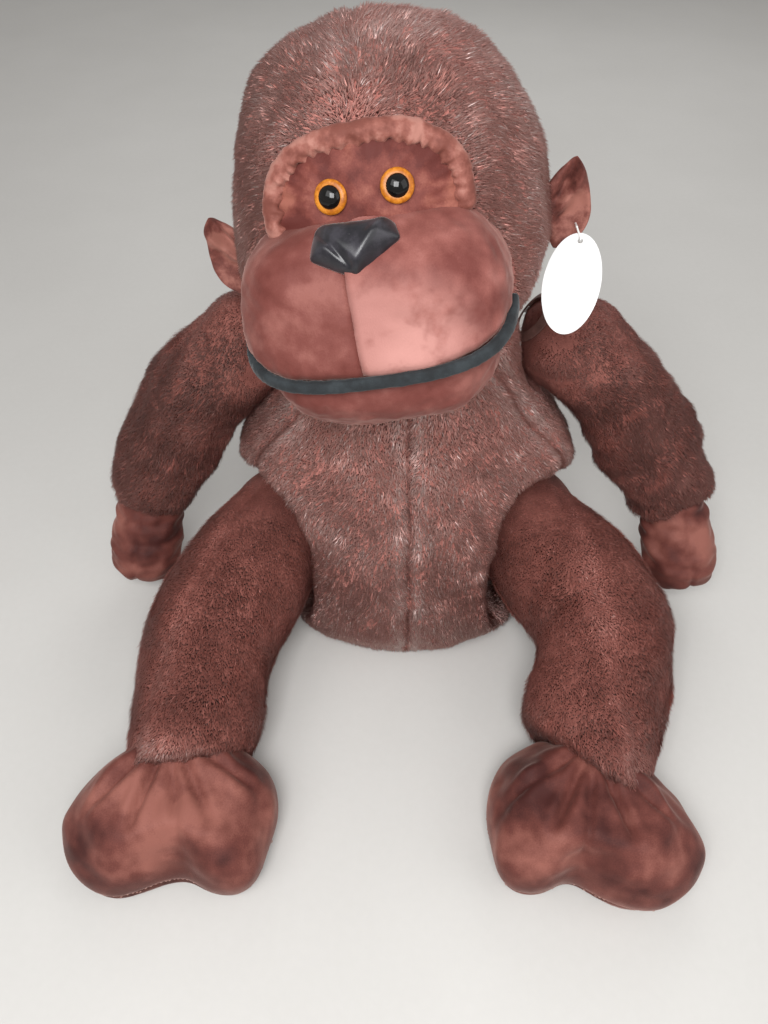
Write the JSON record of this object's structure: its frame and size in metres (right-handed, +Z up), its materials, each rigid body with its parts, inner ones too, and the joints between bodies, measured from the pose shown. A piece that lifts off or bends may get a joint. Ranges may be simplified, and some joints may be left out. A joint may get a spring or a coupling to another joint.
{
  "type": "plush toy gorilla",
  "caption": "Seated plush gorilla with sewn-on head, arms and legs, velour face, hands and feet, safety eyes and a hang tag.",
  "frame": {"origin": "on the floor, under the middle of the toy's outline", "axes": "+Z up, -Y the way the toy faces, +X its left side"},
  "size_m": [0.6365, 0.5326, 0.5604],
  "materials": {
    "plush": "long pile",
    "velour": "short velour pile",
    "velour_dark": "short velour pile",
    "satin_nose": "satin weave",
    "felt_mouth": "felt",
    "eye_amber": "polished",
    "eye_black": "polished",
    "white_plastic": "moulded",
    "card": "coated card",
    "label": "woven satin ribbon",
    "stuffing": "polyester fibre",
    "thread": "sewn thread"
  },
  "bodies": {
    "torso": {"seat_panel": "plush", "torso_stuffing": "stuffing", "left_belly_panel": "plush", "left_side_panel": "plush", "left_back_panel": "plush", "right_belly_panel": "plush", "right_side_panel": "plush", "right_back_panel": "plush", "care_label": "label", "hip_stitching": "velour"},
    "neck": {"neck_stitching": "velour"},
    "head": {"left_eye_disc": "eye_amber", "left_eye_pupil": "eye_black", "left_ear_front": "velour", "left_ear_back": "velour", "right_eye_disc": "eye_amber", "right_eye_pupil": "eye_black", "right_ear_front": "velour", "right_ear_back": "velour", "face_panel": "velour_dark", "head_stuffing": "stuffing", "left_head_front_panel": "plush", "left_head_back_panel": "plush", "right_head_front_panel": "plush", "right_head_back_panel": "plush", "left_muzzle_panel": "velour", "right_muzzle_panel": "velour", "mouth_strip": "felt_mouth", "chin_panel": "velour", "nose": "satin_nose", "brow_band": "velour", "eye_washers": "white_plastic"},
    "tag": {"tag_fastener": "white_plastic", "hang_tag": "card"},
    "left_shoulder": {"left_shoulder_stitching": "velour"},
    "left_arm": {"left_sleeve_outer_panel": "plush", "left_sleeve_inner_panel": "plush", "left_arm_stuffing": "stuffing", "left_hand_back": "velour", "left_hand_palm": "velour", "left_hand_stuffing": "stuffing"},
    "right_shoulder": {"right_shoulder_stitching": "velour"},
    "right_arm": {"right_sleeve_outer_panel": "plush", "right_sleeve_inner_panel": "plush", "right_arm_stuffing": "stuffing", "right_hand_back": "velour", "right_hand_palm": "velour", "right_hand_stuffing": "stuffing"},
    "left_leg": {"left_leg_outer_panel": "plush", "left_leg_inner_panel": "plush", "left_leg_stuffing": "stuffing", "left_foot_upper": "velour", "left_foot_sole": "velour", "left_foot_stuffing": "stuffing"},
    "right_leg": {"right_leg_outer_panel": "plush", "right_leg_inner_panel": "plush", "right_leg_stuffing": "stuffing", "right_foot_upper": "velour", "right_foot_sole": "velour", "right_foot_stuffing": "stuffing"}
  },
  "joints": [
    {"name": "head_turn", "type": "hinge", "parent": "torso", "child": "neck", "pos_m": [-0.0256, 0.1093, 0.43], "axis": [0, 0, 1], "range_deg": [-30, 30], "stiffness_Nm_per_rad": 1.6},
    {"name": "head_nod", "type": "hinge", "parent": "neck", "child": "head", "pos_m": [-0.0256, 0.1093, 0.43], "axis": [0.9925, -0.1219, 0], "range_deg": [-12, 10], "stiffness_Nm_per_rad": 2.4},
    {"name": "tag_swing", "type": "hinge", "parent": "head", "child": "tag", "pos_m": [0.11653, 0.09779, 0.42153], "axis": [0.1171, 0.9541, -0.2756], "range_deg": [-14, 6], "stiffness_Nm_per_rad": 0.01},
    {"name": "left_arm_swing", "type": "hinge", "parent": "torso", "child": "left_shoulder", "pos_m": [0.1404, 0.1423, 0.284], "axis": [1, 0, 0], "range_deg": [0, 35], "stiffness_Nm_per_rad": 1.2},
    {"name": "left_arm_lift", "type": "hinge", "parent": "left_shoulder", "child": "left_arm", "pos_m": [0.1404, 0.1423, 0.284], "axis": [0, -1, 0], "range_deg": [0, 75], "stiffness_Nm_per_rad": 1.2},
    {"name": "right_arm_swing", "type": "hinge", "parent": "torso", "child": "right_shoulder", "pos_m": [-0.1516, 0.1423, 0.284], "axis": [1, 0, 0], "range_deg": [0, 35], "stiffness_Nm_per_rad": 1.2},
    {"name": "right_arm_lift", "type": "hinge", "parent": "right_shoulder", "child": "right_arm", "pos_m": [-0.1516, 0.1423, 0.284], "axis": [0, 1, 0], "range_deg": [0, 75], "stiffness_Nm_per_rad": 1.2},
    {"name": "left_leg_lift", "type": "hinge", "parent": "torso", "child": "left_leg", "pos_m": [0.1224, 0.1103, 0.074], "axis": [-0.9986, 0.0523, 0], "range_deg": [0, 35], "stiffness_Nm_per_rad": 1.5},
    {"name": "right_leg_lift", "type": "hinge", "parent": "torso", "child": "right_leg", "pos_m": [-0.1336, 0.1103, 0.074], "axis": [-0.9945, 0.1045, 0], "range_deg": [0, 35], "stiffness_Nm_per_rad": 1.5}
  ]
}
